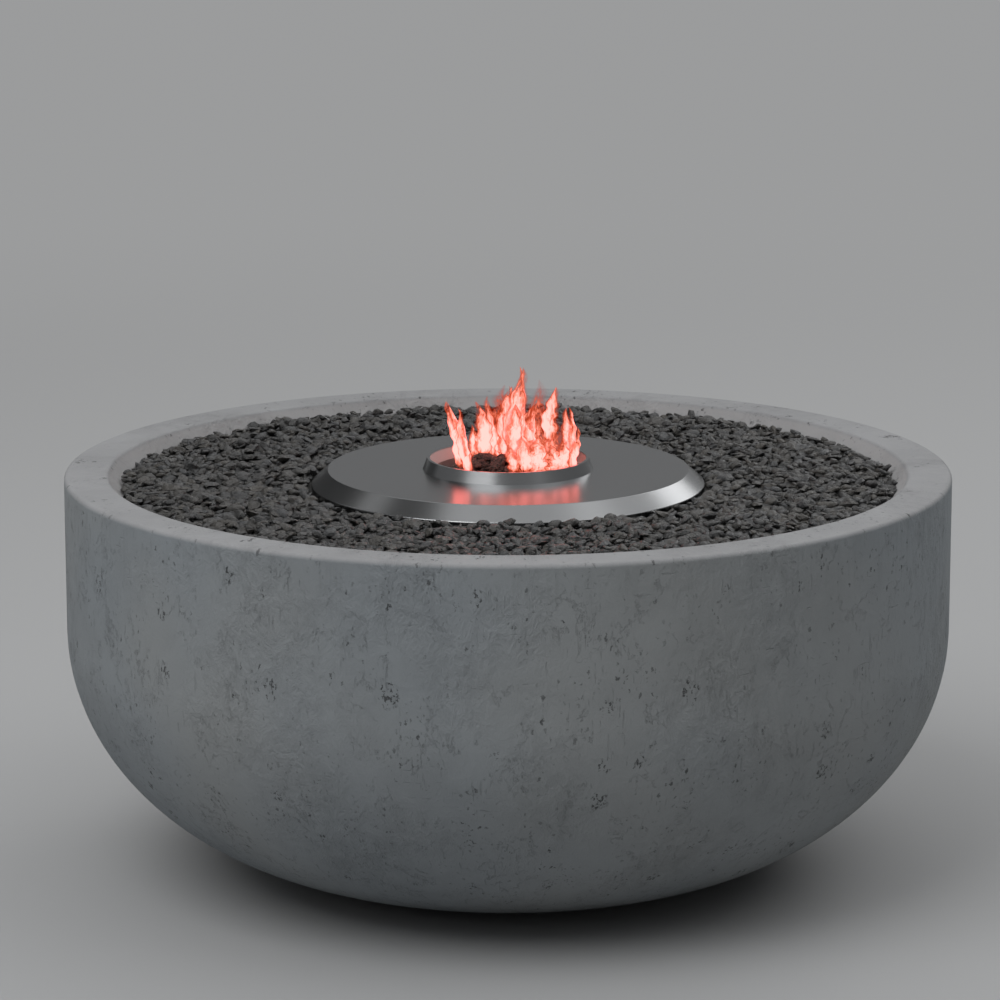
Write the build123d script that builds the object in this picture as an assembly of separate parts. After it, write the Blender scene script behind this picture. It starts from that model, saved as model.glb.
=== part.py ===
import math
import os

from build123d import *

os.makedirs("parts", exist_ok=True)

# Fits shared by all pieces: parts that lie beside each other, hold each other, or run in each other
slip = 0.3
snug = 0.15
running = 0.05
overrun = 4.0

# Rubber pads under the bowl
pad_count = 4
pad_diameter = 46.0
pad_edge_inset = 14.7
pad_proud = 4.0
pad_socket_depth = 2.0
pad_edge = 1.2

# Concrete bowl
bowl_diameter = 850.0
bowl_height = 384.0
bowl_straight = 148.0
bowl_curve_run = 290.0
bowl_base_cut = 4.0
rim_width = 41.0
rim_round = 4.0
lip_run = 26.0
lip_drop = 30.0
seat_width = 16.0
seat_nose = 8.0
wall_thickness = 43.0
floor_thickness = 46.0
base_port_diameter = 60.0

# Control niche at the back of the bowl and the plate in it
niche_depth = 25.0
plate_width = 140.0
plate_height = 62.0
plate_thickness = 2.5
plate_corner = 6.0
plate_land = 11.0
plate_screw_inset = 6.0
dot_shares = (0.4, 0.6, 0.8, 1.0)
dot_radius = 2.0
dot_depth = 0.4
dot_circle_gap = 4.5

# Small screws of the plate, the gas inlet and the burner carrier
screw_radius = 2.0
screw_length = 14.0
screw_head_radius = 3.8
screw_head_height = 2.4
screw_slot_width = 1.0
screw_slot_depth = 1.1
screw_nut_flats = 7.0
screw_nut_height = 3.2

# Gravel tray
tray_sheet = 2.0
tray_depth = 27.0
tray_wall_gap = 4.0
tray_flange_gap = 2.0
tray_hole_diameter = 160.0
drain_count = 12
drain_diameter = 8.0

# Gravel: a packed bed and its top layer of chips
bed_drop = 24.0
stone_pitch = 13.8
stone_fill_share = 0.82
stone_height = 11.5
stone_kinds = 8
stone_corners = 5
stone_level_shares = ((0.0, 0.74), (0.42, 1.0), (1.0, 0.52))
stone_wobble_share = 0.22
stone_tilt_share = 0.3
golden_turn = 137.508

# Burner cover: bevelled steel disc with a skirt, and the flame collar in its hole
cover_diameter = 378.0
cover_flat_diameter = 347.0
cover_bevel_drop = 13.5
cover_drop = 0.5
cover_sheet = 2.0
cover_edge_round = 1.5
collar_base_diameter = 164.0
collar_top_diameter = 155.4
collar_height = 11.0
collar_lip = 2.6
collar_inner_diameter = 142.0
collar_wall = 1.6
collar_spigot = 14.0

# Burner carrier, cup, ring burner and ember grate
bridge_length = 236.0
bridge_width = 44.0
bridge_thickness = 3.0
bridge_screw_inset = 9.0
cup_diameter = 136.0
cup_wall = 1.5
cup_height = 44.0
cup_vent_radius = 4.0
cup_vent_circle = 60.0
cup_vent_angles = (60, 90, 120, 240, 270, 300)
ring_diameter = 92.0
ring_tube_radius = 7.0
ring_lift = 1.0
ring_spoke_radius = 4.5
ring_spoke_count = 3
ring_port_count = 24
ring_port_radius = 1.25
ring_port_depth = 4.0
hub_radius = 16.0
hub_roof = 5.0
grate_sheet = 2.0
grate_gap = 0.5
grate_hole_radius = 4.0
grate_ring_shares = ((0.27, 6), (0.53, 12), (0.8, 18))

# Ember lumps heaped on the grate: a lower layer of seven and three on top
ember_radius = 12.0
ember_height = 20.0
ember_pitch = 24.6
ember_lower_count = 6
ember_upper_count = 3
ember_kinds = 4
ember_level_shares = ((0.0, 0.82), (0.45, 1.0), (1.0, 0.74))

# Flame: a ring of tongues, heights as shares of the tallest, from +X round
flame_height = 128.0
flame_ring_diameter = 106.0
flame_width = 19.0
flame_lean_angle = 3.0
flame_height_shares = (0.69, 0.85, 0.79, 0.74, 0.78, 0.74, 0.76, 0.42, 0.36, 0.5, 1.0, 0.81)
flame_belly_shares = ((0.58, 0.0), (1.3, 0.16), (1.25, 0.4), (0.25, 0.6), (0.0, 1.0))

# Mixing tube, its air windows, hanger, air shutter and gas jet
tube_radius = 12.0
tube_wall = 1.5
tube_drop = 36.0
tube_length = 168.0
tube_bend = 26.0
tube_end_wall = 2.5
window_inset = 14.0
window_length = 22.0
window_height = 13.0
shutter_wall = 1.5
shutter_margin = 5.0
shutter_ear_width = 3.0
shutter_ear_height = 6.0
hanger_gap = 5.0
hanger_sheet = 2.0
hanger_width = 12.0
hanger_foot = 62.0
hanger_screw_place = 23.0
jet_nose_radius = 5.0
jet_nose_length = 9.0
jet_tip_length = 4.0
jet_tip_radius = 2.0
jet_flats = 14.0
jet_hex_length = 7.0
jet_hole_radius = 0.6

# Gas pipes, their nuts and the stubs that take them
pipe_radius = 4.0
pipe_wall = 0.8
pipe_bend = 24.0
stub_radius = 6.0
stub_length = 8.0
pipe_nut_flats = 17.0
pipe_nut_length = 11.0
pipe_entry = 5.0
pipe_corner_share = 0.31

# Gas valve behind the plate, its plug and spindle, and the knob
valve_offset = 28.0
valve_width = 40.0
valve_height = 32.0
valve_length = 52.0
valve_round = 3.0
neck_radius = 8.0
neck_proud = 4.0
neck_nut_flats = 21.0
neck_nut_height = 3.4
outlet_offset = 10.0
safety_offset = 11.0
safety_radius = 8.0
safety_length = 18.0
inlet_setback = 16.0
plug_radius = 9.0
plug_length = 30.0
plug_setback = 9.0
spindle_radius = 4.0
spindle_reach = 20.0
knob_diameter = 40.0
knob_depth = 14.5
knob_gap = 8.0
knob_push = 6.0
knob_roof = 6.0
knob_rim = 4.5
knob_hub_radius = 7.0
knob_edge = 1.5
knob_flute_count = 16
knob_flute_radius = 3.0
knob_flute_depth = 0.9
knob_line_width = 2.0
knob_line_depth = 0.8

# Spark igniter on the plate, with its button
igniter_offset = -34.0
igniter_radius = 9.0
igniter_length = 48.0
bezel_radius = 13.0
bezel_height = 3.0
igniter_nut_flats = 25.0
igniter_nut_height = 5.0
button_radius = 7.0
button_proud = 8.0
button_travel = 5.0
button_depth = 16.0
button_edge = 1.0
terminal_radius = 2.4
terminal_length = 6.0

# Spark electrode, thermocouple, their leads and clips
probe_circle_diameter = 120.0
ceramic_radius = 3.5
ceramic_length = 30.0
spark_pin_radius = 1.0
spark_pin_length = 5.0
probe_radius = 3.0
probe_length = 34.0
probe_below = 18.0
lead_radius = 2.0
lead_dip = 33.0
lead_bend = 14.0
lead_lane_shares = (0.183, 0.355, 0.74)
lead_valve_run = 40.0
clip_place_shares = (0.43, 0.666)
clip_sheet = 1.2
clip_width = 8.0
clip_foot = 16.0
retainer_radius = 7.0
retainer_sheet = 1.2

# Gas inlet low at the back
inlet_rise_share = 0.483
inlet_seat_depth = 65.0
inlet_seat_radius = 26.0
inlet_hole_radius = 9.0
inlet_flange_radius = 20.0
inlet_flange_thickness = 5.0
inlet_screw_offset = 15.6
inlet_flats = 19.0
inlet_hex_length = 8.0
nipple_radius = 6.58
nipple_length = 14.0
inlet_tail_radius = 8.0
inlet_tail_length = 12.0
supply_run = 52.0
supply_drop = 37.0

# Heights and radii that follow from the sizes above
bowl_radius = bowl_diameter / 2
base_z = pad_proud
rim_z = base_z + bowl_height
straight_z = rim_z - bowl_straight
curve_center_r = bowl_radius - bowl_curve_run
curve_drop = bowl_height - bowl_straight + bowl_base_cut
rim_inner_r = bowl_radius - rim_width
seat_z = rim_z - lip_drop
seat_outer_r = rim_inner_r - lip_run
seat_inner_r = seat_outer_r - seat_width
wall_inner_r = bowl_radius - wall_thickness
corbel_z = seat_z - seat_nose - (wall_inner_r - seat_inner_r)
inner_floor_z = base_z + floor_thickness
base_angle = math.degrees(math.asin((straight_z - base_z) / curve_drop))
base_r = curve_center_r + bowl_curve_run * math.cos(math.radians(base_angle))
pad_circle_r = base_r - pad_edge_inset - pad_diameter / 2

panel_z = (straight_z + corbel_z) / 2
plate_front_y = bowl_radius - niche_depth
plate_back_y = plate_front_y - plate_thickness
plate_screw_x = plate_width / 2 - plate_screw_inset
plate_screw_z = plate_height / 2 - plate_screw_inset
screw_hole_radius = screw_radius + snug

tray_flange_top_z = seat_z + tray_sheet
tray_floor_z = tray_flange_top_z - tray_depth
tray_under_z = tray_floor_z - tray_sheet
tray_wall_r = seat_inner_r - tray_wall_gap
tray_flange_r = seat_outer_r - tray_flange_gap

cover_r = cover_diameter / 2
cover_flat_r = cover_flat_diameter / 2
cover_top_z = rim_z - cover_drop
cover_shoulder_z = cover_top_z - cover_bevel_drop
collar_inner_r = collar_inner_diameter / 2
collar_outer_r = collar_inner_r + collar_wall
collar_top_z = cover_top_z + collar_height
bed_top_z = rim_z - bed_drop
bed_inner_r = cover_r + slip
stone_radius = stone_pitch * stone_fill_share

bridge_top_z = tray_floor_z + bridge_thickness
bridge_screw_x = bridge_length / 2 - bridge_screw_inset
cup_floor_z = bridge_top_z + cup_wall
cup_r = cup_diameter / 2
ring_r = ring_diameter / 2
ring_z = cup_floor_z + ring_lift + ring_tube_radius
grate_under_z = ring_z + ring_tube_radius + grate_gap
grate_top_z = grate_under_z + grate_sheet
grate_r = cup_r - cup_wall - slip
probe_r = probe_circle_diameter / 2

tube_z = tray_under_z - tube_drop + tube_radius
tube_top_z = ring_z
jet_end_y = tube_length + jet_hex_length + stub_length
window_y = tube_length - window_inset - window_length / 2
shutter_start_y = window_y - window_length / 2 - shutter_margin
hanger_y = shutter_start_y - hanger_gap - hanger_width / 2

valve_x = valve_offset
valve_back_y = plate_back_y - valve_length
valve_under_z = panel_z - valve_height / 2
outlet_x = valve_x - outlet_offset
outlet_end_y = valve_back_y - stub_length
safety_x = valve_x + safety_offset
safety_end_y = valve_back_y - safety_length
inlet_stub_y = valve_back_y + inlet_setback
inlet_stub_z = valve_under_z - stub_length
plug_front_y = plate_back_y - plug_setback
plug_back_y = plug_front_y - plug_length
spindle_back_y = plug_front_y - spindle_reach
knob_back_y = plate_front_y + knob_gap
knob_front_y = knob_back_y + knob_depth
igniter_back_y = plate_back_y - igniter_length
igniter_end_y = igniter_back_y - terminal_length
button_back_y = plate_front_y + bezel_height - button_depth

inlet_seat_y = bowl_radius - inlet_seat_depth
inlet_z = base_z + inlet_rise_share * (straight_z - base_z)
inlet_x = valve_x
inlet_tail_y = inlet_seat_y - inlet_tail_length
supply_inner_y = inlet_tail_y - supply_run
supply_upper_z = inlet_stub_z - supply_drop
lead_run_z = tray_under_z - lead_radius - snug


def lip_radius(height):
    return seat_outer_r + lip_run * (height - seat_z) / lip_drop


def save(name, shape):
    export_step(shape, f"parts/{name}.step")


def turned(points):
    # A body turned about Z from its half section of radii and heights
    outline = Polyline(*points, close=True)
    return revolve(Plane.XZ * make_face(outline), Axis.Z)


def back_plane(x, y, z):
    # Work plane that faces the back of the bowl
    return Plane(origin=(x, y, z), x_dir=(1, 0, 0), z_dir=(0, 1, 0))


def rod_back(x, y, z, radius, length):
    return extrude(back_plane(x, y, z) * Circle(radius), length)


def hex_back(x, y, z, flats, length):
    return extrude(back_plane(x, y, z) * RegularPolygon(flats / 2, 6, major_radius=False), length)


def rod_up(x, y, z, radius, length):
    return extrude(Plane((x, y, z)) * Circle(radius), length)


def hex_up(x, y, z, flats, length):
    return extrude(Plane((x, y, z)) * RegularPolygon(flats / 2, 6, major_radius=False), length)


def pipe_along(points, bends, radius, wall):
    # Round pipe with straight runs and tangent bends
    path = FilletPolyline(*points, radius=bends)
    start = Plane(origin=path @ 0, z_dir=path % 0)
    pipe = sweep(start * Circle(radius), path=path)
    if wall > 0:
        pipe -= sweep(start * Circle(radius - wall), path=path)
    return pipe


def screw_upright(x, y, z):
    # Slotted pan-head screw, its head standing on height z
    head = rod_up(x, y, z, screw_head_radius, screw_head_height)
    slot_z = z + screw_head_height - screw_slot_depth / 2
    slot = Pos(x, y, slot_z) * Box(2 * screw_head_radius, screw_slot_width, screw_slot_depth)
    return head - slot + rod_up(x, y, z - screw_length, screw_radius, screw_length)


def screw_back(x, y, z):
    # The same screw lying along Y, its head against depth y
    return Pos(x, y, z) * Rot(-90, 0, 0) * screw_upright(0, 0, 0)


def nut_up(x, y, z):
    return hex_up(x, y, z, screw_nut_flats, screw_nut_height) - rod_up(
        x, y, z, screw_radius + snug, screw_nut_height
    )


def make_stone(kind, level_shares, radius, height, tilt_share):
    # Angular chip: flat underside, wide waist and a small top, uneven all round
    points = []
    for level, (height_share, radius_share) in enumerate(level_shares):
        for corner in range(stone_corners):
            phase = (1 + math.sin(2.4 * kind + 2.1 * corner + 1.7 * level)) / 2
            reach = radius * radius_share * (1 - stone_wobble_share * phase)
            rise = height * height_share * (1 - tilt_share * phase)
            angle = 2 * math.pi * (corner + level / len(level_shares)) / stone_corners
            points.append((reach * math.cos(angle), reach * math.sin(angle), rise))
    return ConvexPolyhedron(points).solid()


def make_bowl():
    # Half section: flat base, swelling wall, rim, sloped lip, tray seat on a corbel, inner wall
    outer = EllipticalCenterArc(
        (curve_center_r, straight_z), bowl_curve_run, curve_drop, -base_angle, arc_size=base_angle
    )
    inner = EllipticalCenterArc(
        (curve_center_r, straight_z),
        wall_inner_r - curve_center_r,
        straight_z - inner_floor_z,
        -90,
        arc_size=90,
    )
    port_r = base_port_diameter / 2
    under = Polyline(outer @ 0, (port_r, base_z), (port_r, inner_floor_z), inner @ 0)
    over = Polyline(
        inner @ 1,
        (wall_inner_r, corbel_z),
        (seat_inner_r, seat_z - seat_nose),
        (seat_inner_r, seat_z),
        (seat_outer_r, seat_z),
        (rim_inner_r, rim_z),
        (bowl_radius, rim_z),
        outer @ 1,
    )
    section = make_face([outer, inner, under, over])
    section = fillet(section.vertices().group_by(Axis.Y)[-1], rim_round)
    bowl = revolve(Plane.XZ * section, Axis.Z)

    niche = RectangleRounded(plate_width + 2 * slip, plate_height + 2 * slip, plate_corner)
    bowl -= extrude(back_plane(0, plate_back_y, panel_z) * niche, niche_depth + plate_thickness + overrun)
    inner_land = RectangleRounded(plate_width - 2 * plate_land, plate_height - 2 * plate_land, plate_corner)
    behind = plate_back_y - wall_inner_r + plate_width
    bowl -= extrude(back_plane(0, plate_back_y - behind, panel_z) * inner_land, behind + overrun)
    for x in (-plate_screw_x, plate_screw_x):
        for z in (panel_z - plate_screw_z, panel_z + plate_screw_z):
            bowl -= rod_back(x, plate_front_y - screw_length - slip, z, screw_hole_radius, screw_length)

    seat = rod_back(inlet_x, inlet_seat_y, inlet_z, inlet_seat_radius, inlet_seat_depth + overrun)
    bore_y = inlet_seat_y - inlet_seat_depth
    inlet_bore = rod_back(inlet_x, bore_y, inlet_z, inlet_hole_radius, inlet_seat_depth)
    bowl -= seat + inlet_bore
    for x in (inlet_x - inlet_screw_offset, inlet_x + inlet_screw_offset):
        bowl -= rod_back(x, inlet_seat_y - screw_length, inlet_z, screw_hole_radius, screw_length)

    socket = Cylinder(pad_diameter / 2 + slip, 2 * pad_socket_depth)
    for spot in PolarLocations(pad_circle_r, pad_count, 180 / pad_count):
        bowl -= Pos(0, 0, base_z) * spot * socket
    return bowl


def make_foot_pads():
    pad = rod_up(0, 0, 0, pad_diameter / 2, pad_proud + pad_socket_depth)
    pad = chamfer(pad.edges().group_by(Axis.Z)[0], pad_edge)
    spots = PolarLocations(pad_circle_r, pad_count, 180 / pad_count)
    return Compound([spot * pad.solid() for spot in spots])


def make_control_plate():
    plate = RectangleRounded(plate_width, plate_height, plate_corner)
    plate -= Pos(valve_x, 0) * Circle(neck_radius + snug)
    plate -= Pos(igniter_offset, 0) * Circle(igniter_radius + snug)
    for x in (-plate_screw_x, plate_screw_x):
        for z in (-plate_screw_z, plate_screw_z):
            plate -= Pos(x, z) * Circle(screw_hole_radius)
    panel = extrude(back_plane(0, plate_back_y, panel_z) * plate, plate_thickness)
    # Four sunk dots that grow from off, above the knob, to full at its side
    dot_circle = knob_diameter / 2 + dot_circle_gap
    for step, share in enumerate(dot_shares):
        angle = math.radians(90 - 90 * step / (len(dot_shares) - 1))
        x = valve_x + dot_circle * math.cos(angle)
        z = panel_z + dot_circle * math.sin(angle)
        panel -= rod_back(x, plate_front_y - dot_depth, z, dot_radius * share, dot_depth)
    return panel


def make_plate_screws():
    screws = []
    for x in (-plate_screw_x, plate_screw_x):
        for z in (panel_z - plate_screw_z, panel_z + plate_screw_z):
            screws.append(screw_back(x, plate_front_y, z).solid())
    return Compound(screws)


def make_gravel_tray():
    hole_r = tray_hole_diameter / 2
    inside_r = tray_wall_r - tray_sheet
    tray = turned(
        [
            (hole_r, tray_floor_z),
            (inside_r, tray_floor_z),
            (inside_r, tray_flange_top_z),
            (tray_flange_r, tray_flange_top_z),
            (tray_flange_r, seat_z),
            (tray_wall_r, seat_z),
            (tray_wall_r, tray_under_z),
            (hole_r, tray_under_z),
        ]
    )
    drain_circle = (cover_r + inside_r) / 2
    for spot in PolarLocations(drain_circle, drain_count):
        tray -= Pos(0, 0, tray_under_z) * spot * Cylinder(drain_diameter / 2, 4 * tray_sheet)
    for x in (-bridge_screw_x, bridge_screw_x):
        tray -= rod_up(x, 0, tray_under_z, screw_hole_radius, tray_sheet)
    for x in (-hanger_screw_place, hanger_screw_place):
        tray -= rod_up(x, hanger_y, tray_under_z, screw_hole_radius, tray_sheet)
    return tray


def make_gravel_bed():
    inside_r = tray_wall_r - tray_sheet - slip
    return turned(
        [
            (bed_inner_r, tray_floor_z),
            (inside_r, tray_floor_z),
            (inside_r, tray_flange_top_z),
            (lip_radius(tray_flange_top_z) - slip, tray_flange_top_z),
            (lip_radius(bed_top_z) - slip, bed_top_z),
            (bed_inner_r, bed_top_z),
        ]
    )


def make_gravel_stones():
    # Chips spread evenly over the bed on a sunflower spiral
    kinds = []
    for kind in range(stone_kinds):
        kinds.append(make_stone(kind, stone_level_shares, stone_radius, stone_height, stone_tilt_share))
    first_r = bed_inner_r + stone_radius
    last_r = lip_radius(bed_top_z) - slip - stone_radius
    count = int((last_r**2 - first_r**2) / stone_pitch**2)
    stones = []
    for n in range(count):
        r = math.sqrt(first_r**2 + n * stone_pitch**2)
        angle = math.radians(n * golden_turn)
        place = Location((r * math.cos(angle), r * math.sin(angle), bed_top_z), (0, 0, 47 * n))
        stones.append(place * kinds[n % stone_kinds])
    return Compound(stones)


def make_burner_cover():
    inner_r = cover_r - cover_sheet
    hole_r = collar_outer_r + snug
    section = make_face(
        Polyline(
            (hole_r, cover_top_z),
            (cover_flat_r, cover_top_z),
            (cover_r, cover_shoulder_z),
            (cover_r, tray_floor_z),
            (inner_r, tray_floor_z),
            (inner_r, cover_shoulder_z - cover_sheet / 2),
            (cover_flat_r - cover_sheet / 2, cover_top_z - cover_sheet),
            (hole_r, cover_top_z - cover_sheet),
            close=True,
        )
    )
    outside = section.vertices().filter_by(lambda v: v.X > cover_flat_r - slip)
    bends = outside.filter_by(lambda v: v.Y > cover_shoulder_z - slip)
    section = fillet(bends, cover_edge_round)
    return revolve(Plane.XZ * section, Axis.Z)


def make_burner_collar():
    # Conical ring on the cover with a spigot through its hole
    top_r = collar_top_diameter / 2
    return turned(
        [
            (collar_base_diameter / 2, cover_top_z),
            (top_r, collar_top_z),
            (top_r - collar_lip, collar_top_z),
            (collar_inner_r, cover_top_z),
            (collar_inner_r, cover_top_z - collar_spigot),
            (collar_outer_r, cover_top_z - collar_spigot),
            (collar_outer_r, cover_top_z),
        ]
    )


def make_burner_bridge():
    bar = SlotOverall(bridge_length, bridge_width)
    bar -= Circle(tube_radius + slip)
    bar -= Pos(-probe_r, 0) * Circle(ceramic_radius + snug)
    bar -= Pos(probe_r, 0) * Circle(probe_radius + snug)
    for x in (-bridge_screw_x, bridge_screw_x):
        bar -= Pos(x, 0) * Circle(screw_hole_radius)
    return extrude(Plane((0, 0, tray_floor_z)) * bar, bridge_thickness)


def make_carrier_screws():
    # Screws and nuts that hold the bridge and the tube hanger to the tray floor
    pieces = []
    for x in (-bridge_screw_x, bridge_screw_x):
        pieces.append(screw_upright(x, 0, bridge_top_z).solid())
        pieces.append(nut_up(x, 0, tray_under_z - screw_nut_height).solid())
    for x in (-hanger_screw_place, hanger_screw_place):
        pieces.append(screw_upright(x, hanger_y, tray_floor_z).solid())
        pieces.append(nut_up(x, hanger_y, tray_under_z - hanger_sheet - screw_nut_height).solid())
    return Compound(pieces)


def make_burner_cup():
    inside_r = cup_r - cup_wall
    section = make_face(
        Polyline(
            (0, bridge_top_z),
            (cup_r, bridge_top_z),
            (cup_r, bridge_top_z + cup_height),
            (inside_r, bridge_top_z + cup_height),
            (inside_r, cup_floor_z),
            (0, cup_floor_z),
            close=True,
        )
    )
    cup = revolve(Plane.XZ * section, Axis.Z)
    cup -= rod_up(0, 0, bridge_top_z, tube_radius + snug, cup_wall)
    cup -= rod_up(-probe_r, 0, bridge_top_z, ceramic_radius + snug, cup_wall)
    cup -= rod_up(probe_r, 0, bridge_top_z, probe_radius + snug, cup_wall)
    for angle in cup_vent_angles:
        x = cup_vent_circle / 2 * math.cos(math.radians(angle))
        y = cup_vent_circle / 2 * math.sin(math.radians(angle))
        cup -= rod_up(x, y, bridge_top_z, cup_vent_radius, cup_wall)
    return cup


def make_ring_burner():
    # Solid ring with blind ports on top, three spokes and a hub that sits on the mixing tube
    hub_top_z = tube_top_z + hub_roof
    burner = Pos(0, 0, ring_z) * Torus(ring_r, ring_tube_radius)
    burner += rod_up(0, 0, cup_floor_z, hub_radius, hub_top_z - cup_floor_z)
    for n in range(ring_spoke_count):
        angle = math.radians(90 + 360 * n / ring_spoke_count)
        outward = Plane(origin=(0, 0, ring_z), z_dir=(math.cos(angle), math.sin(angle), 0))
        burner += extrude(outward * Circle(ring_spoke_radius), ring_r)
    burner -= rod_up(0, 0, cup_floor_z, tube_radius + snug, tube_top_z - cup_floor_z + slip)
    port_z = ring_z + ring_tube_radius - ring_port_depth
    for spot in PolarLocations(ring_r, ring_port_count, 180 / ring_port_count):
        burner -= Pos(0, 0, port_z) * spot * Cylinder(
            ring_port_radius, ring_port_depth + overrun, align=(Align.CENTER, Align.CENTER, Align.MIN)
        )
    return burner


def make_ember_grate():
    # Perforated steel lid over the ring burner, standing on its turned-down rim
    grate = turned(
        [
            (0, grate_top_z),
            (grate_r, grate_top_z),
            (grate_r, cup_floor_z),
            (grate_r - grate_sheet, cup_floor_z),
            (grate_r - grate_sheet, grate_under_z),
            (0, grate_under_z),
        ]
    )
    for share, count in grate_ring_shares:
        for spot in PolarLocations(grate_r * share, count):
            grate -= Pos(0, 0, grate_under_z) * spot * Cylinder(grate_hole_radius, 4 * grate_sheet)
    return grate


def make_ember_lumps():
    kinds = []
    for kind in range(ember_kinds):
        kinds.append(make_stone(kind, ember_level_shares, ember_radius, ember_height, 0))
    low_z = grate_top_z
    lumps = [Pos(0, 0, low_z) * kinds[0]]
    for n in range(ember_lower_count):
        angle = 2 * math.pi * n / ember_lower_count
        place = (ember_pitch * math.cos(angle), ember_pitch * math.sin(angle), low_z)
        lumps.append(Location(place, (0, 0, 71 * n)) * kinds[(n + 1) % ember_kinds])
    high_z = low_z + ember_height
    upper_r = ember_pitch / math.sqrt(3)
    for n in range(ember_upper_count):
        angle = 2 * math.pi * (n + 0.25) / ember_upper_count
        place = (upper_r * math.cos(angle), upper_r * math.sin(angle), high_z)
        lumps.append(Location(place, (0, 0, 53 * n)) * kinds[n % ember_kinds])
    return Compound(lumps)


def make_flame():
    # Tongues on a ring, each a teardrop turned about its own leaning axis
    tongues = []
    for n, share in enumerate(flame_height_shares):
        height = flame_height * share
        width = flame_width / 2
        side = Bezier(*[(width * across, height * up) for across, up in flame_belly_shares])
        section = make_face([side, Polyline(side @ 0, (0, 0), (0, height))])
        tongue = revolve(Plane.XZ * section, Axis.Z).solid()
        turn = Rot(0, 0, 360 * n / len(flame_height_shares))
        lean = Rot(0, flame_lean_angle * math.sin(2 * n), 0)
        stand = Pos(flame_ring_diameter / 2, 0, grate_top_z + slip)
        tongues.append(turn * stand * lean * tongue)
    return Compound(tongues)


def make_mixing_tube():
    # Bent tube with an end wall for the gas jet and two air windows beside it
    points = [(0, tube_length, tube_z), (0, 0, tube_z), (0, 0, tube_top_z)]
    tube = pipe_along(points, tube_bend, tube_radius, tube_wall)
    tube += rod_back(0, tube_length - tube_end_wall, tube_z, tube_radius, tube_end_wall)
    tube -= rod_back(0, tube_length - tube_end_wall, tube_z, jet_nose_radius + snug, tube_end_wall)
    tube -= Pos(0, window_y, tube_z) * Box(4 * tube_radius, window_length, window_height)
    return tube


def make_air_shutter():
    # Sleeve with the same windows, turned on the tube by two small ears
    inner_r = tube_radius + running
    outer_r = inner_r + shutter_wall
    length = window_length + 2 * shutter_margin
    sleeve = rod_back(0, shutter_start_y, tube_z, outer_r, length)
    ear_reach = 2 * (outer_r + shutter_ear_height)
    ear = Box(shutter_ear_width, shutter_ear_width, ear_reach)
    sleeve += Pos(0, shutter_start_y + shutter_ear_width / 2, tube_z) * ear
    sleeve -= rod_back(0, shutter_start_y, tube_z, inner_r, length)
    sleeve -= Pos(0, window_y, tube_z) * Box(4 * tube_radius, window_length, window_height)
    return sleeve


def make_tube_hanger():
    # Strap round the tube with two feet under the tray floor
    inner_r = tube_radius + snug
    outer_r = inner_r + hanger_sheet
    rise = tray_under_z - tube_z
    strap = Circle(outer_r) + Pos(0, -rise / 2) * Rectangle(2 * outer_r, rise)
    strap += Pos(0, -rise + hanger_sheet / 2) * Rectangle(hanger_foot, hanger_sheet)
    strap -= Circle(inner_r) + Pos(0, -rise / 2) * Rectangle(2 * inner_r, rise)
    start = back_plane(0, hanger_y - hanger_width / 2, tube_z)
    hanger = extrude(start * strap, hanger_width)
    for x in (-hanger_screw_place, hanger_screw_place):
        hanger -= rod_up(x, hanger_y, tray_under_z - hanger_sheet, screw_hole_radius, hanger_sheet)
    return hanger


def make_gas_jet():
    # Jet screwed into the tube's end wall: nose, cone tip, hexagon and pipe stub
    wall_y = tube_length
    nose_y = wall_y - jet_nose_length
    jet = rod_back(0, nose_y, tube_z, jet_nose_radius, jet_nose_length)
    tip = Pos(0, nose_y, tube_z) * Rot(90, 0, 0) * Cone(
        jet_nose_radius, jet_tip_radius, jet_tip_length, align=(Align.CENTER, Align.CENTER, Align.MIN)
    )
    jet += tip
    jet += hex_back(0, wall_y, tube_z, jet_flats, jet_hex_length)
    jet += rod_back(0, wall_y + jet_hex_length, tube_z, stub_radius, stub_length)
    jet -= rod_back(0, nose_y - jet_tip_length, tube_z, jet_hole_radius, jet_end_y)
    jet -= rod_back(0, wall_y, tube_z, pipe_radius + snug, jet_end_y)
    return jet


def make_burner_pipe():
    corner_run = pipe_corner_share * (outlet_end_y - jet_end_y)
    points = [
        (0, jet_end_y - pipe_entry, tube_z),
        (0, jet_end_y + corner_run, tube_z),
        (outlet_x, outlet_end_y - corner_run, panel_z),
        (outlet_x, outlet_end_y + pipe_entry, panel_z),
    ]
    return pipe_along(points, pipe_bend, pipe_radius, pipe_wall)


def make_supply_pipe():
    points = [
        (inlet_x, inlet_tail_y + pipe_entry, inlet_z),
        (inlet_x, supply_inner_y, inlet_z),
        (inlet_x, supply_inner_y, supply_upper_z),
        (inlet_x, inlet_stub_y, supply_upper_z),
        (inlet_x, inlet_stub_y, inlet_stub_z + pipe_entry),
    ]
    return pipe_along(points, pipe_bend, pipe_radius, pipe_wall)


def make_pipe_nuts():
    # Union nuts: one each on the valve's two stubs and on the jet
    wide = stub_radius + snug
    narrow = pipe_radius + snug
    reach = stub_length - slip
    nut = hex_up(0, 0, 0, pipe_nut_flats, pipe_nut_length)
    nut -= rod_up(0, 0, 0, narrow, pipe_nut_length)
    nut -= rod_up(0, 0, 0, wide, reach)
    nut = nut.solid()
    at_jet = Pos(0, jet_end_y - reach, tube_z) * Rot(-90, 0, 0) * nut
    at_outlet = Pos(outlet_x, outlet_end_y + reach, panel_z) * Rot(90, 0, 0) * nut
    at_inlet = Pos(inlet_x, inlet_stub_y, inlet_stub_z + reach) * Rot(180, 0, 0) * nut
    return Compound([at_jet, at_outlet, at_inlet])


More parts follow.
